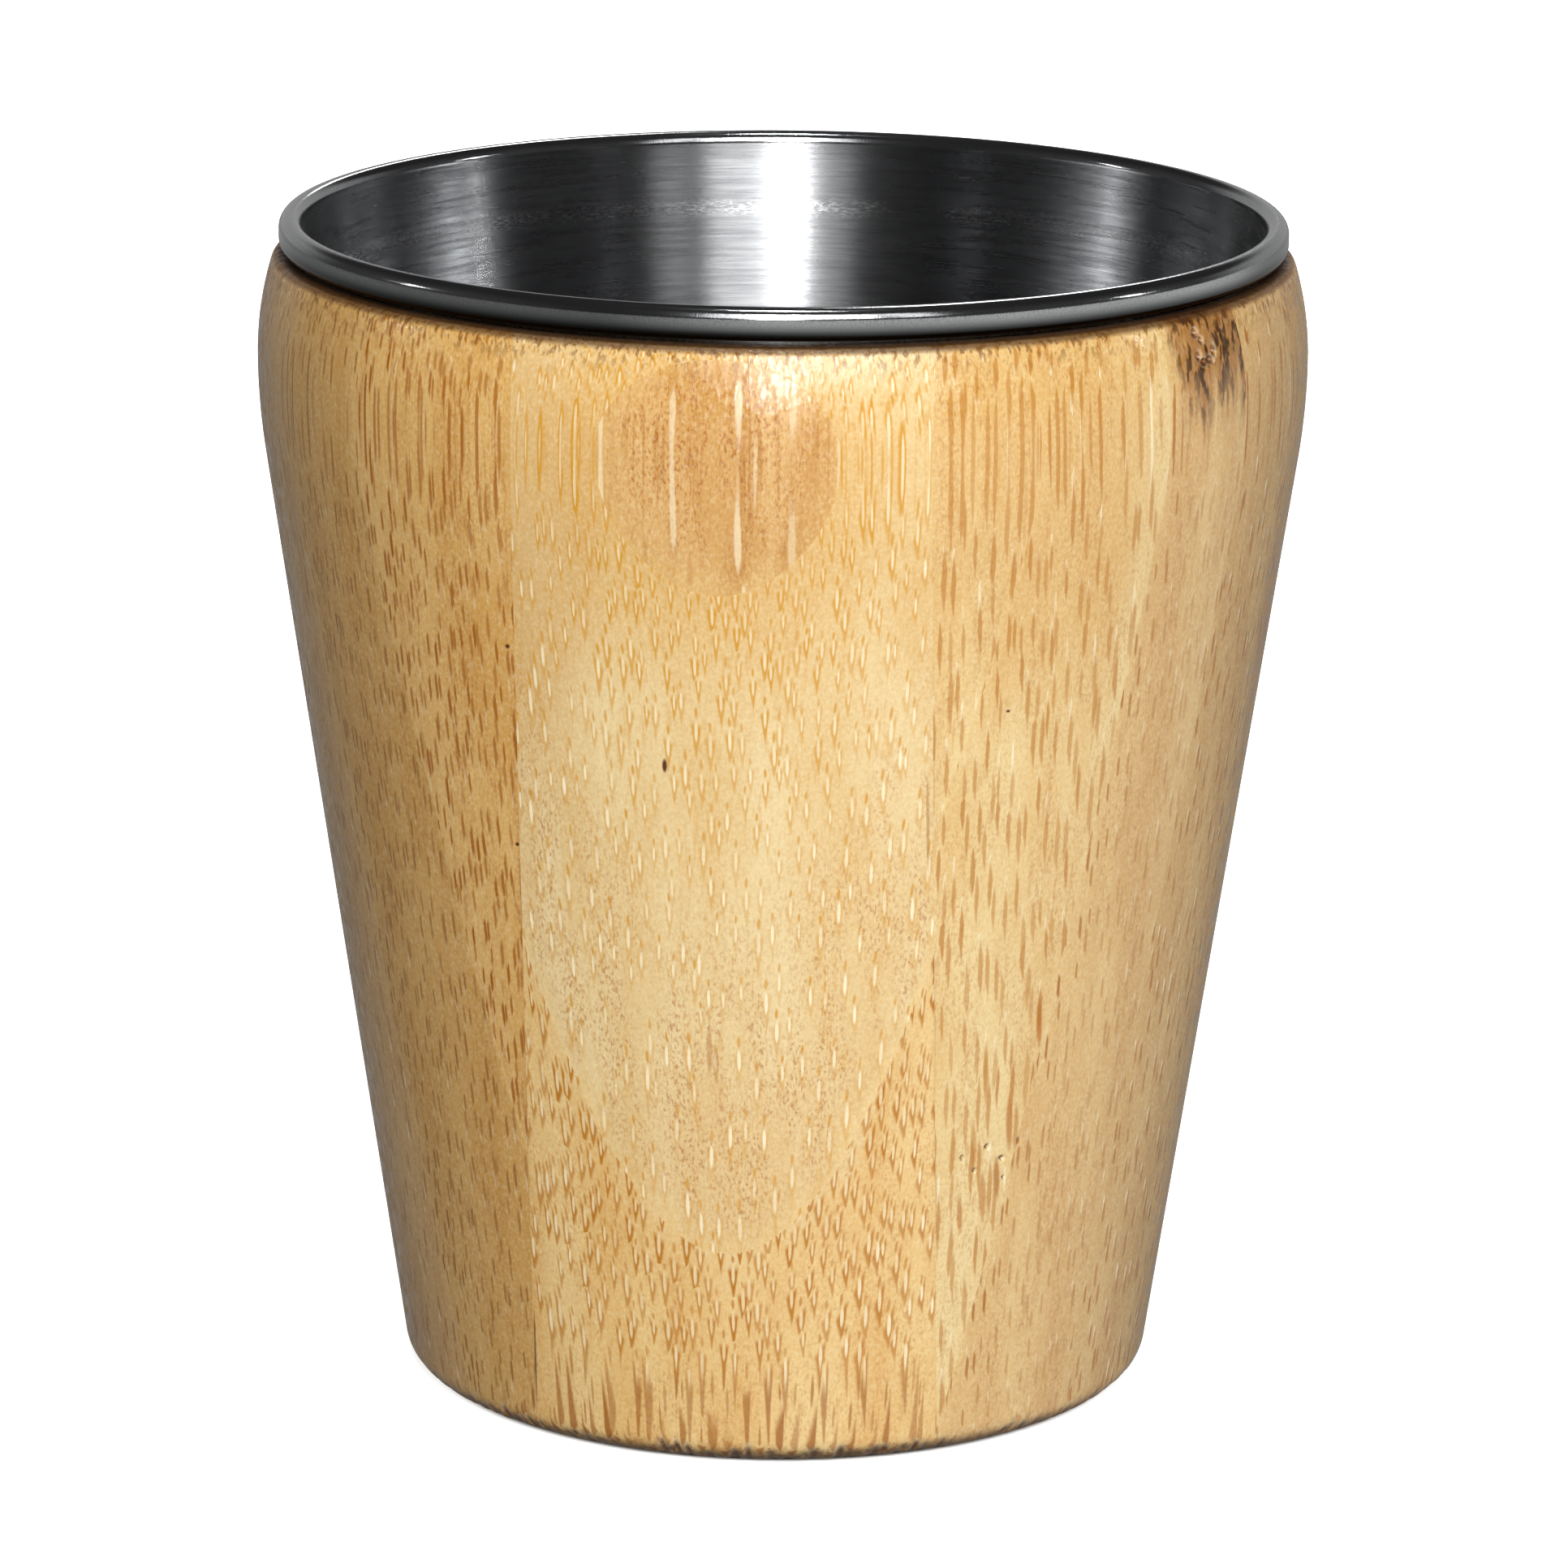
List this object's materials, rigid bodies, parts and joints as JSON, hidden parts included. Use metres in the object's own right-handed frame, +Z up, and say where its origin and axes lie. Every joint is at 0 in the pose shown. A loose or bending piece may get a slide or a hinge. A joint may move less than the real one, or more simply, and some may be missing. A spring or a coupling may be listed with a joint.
{
  "type": "bamboo cup",
  "caption": "Tapered drinking cup: a shell turned from laminated bamboo strips, with a lift-out brushed steel liner that has a rolled lip.",
  "frame": {"origin": "centre of the flat base that the cup stands on", "axes": "+Z up along the cup's axis; X across the width of the strips; Y through the layers, with the pictured front at -Y"},
  "size_m": [0.08, 0.08, 0.0905],
  "materials": {
    "steel": "stainless steel, brushed round the inside, bright on the rolled lip",
    "bamboo": "laminated bamboo, turned and sanded, under a clear satin varnish"
  },
  "bodies": {
    "shell": {"centre_strip_1": "bamboo", "centre_strip_2": "bamboo", "centre_strip_3": "bamboo", "centre_strip_4": "bamboo", "centre_strip_5": "bamboo", "centre_strip_6": "bamboo", "centre_strip_7": "bamboo", "centre_strip_8": "bamboo", "centre_strip_9": "bamboo", "centre_strip_10": "bamboo", "centre_strip_11": "bamboo", "centre_strip_12": "bamboo", "left_strip_1": "bamboo", "left_strip_2": "bamboo", "left_strip_3": "bamboo", "left_strip_4": "bamboo", "left_strip_5": "bamboo", "left_strip_6": "bamboo", "left_strip_7": "bamboo", "left_strip_8": "bamboo", "left_strip_9": "bamboo", "right_strip_1": "bamboo", "right_strip_2": "bamboo", "right_strip_3": "bamboo", "right_strip_4": "bamboo", "right_strip_5": "bamboo", "right_strip_6": "bamboo", "right_strip_7": "bamboo", "right_strip_8": "bamboo", "right_strip_9": "bamboo", "right_strip_10": "bamboo"},
    "liner": {"steel_liner": "steel"}
  },
  "joints": [
    {"name": "liner_lift", "type": "slide", "parent": "shell", "child": "liner", "axis": [0, 0, 1], "range_m": [0, 0.085]}
  ]
}
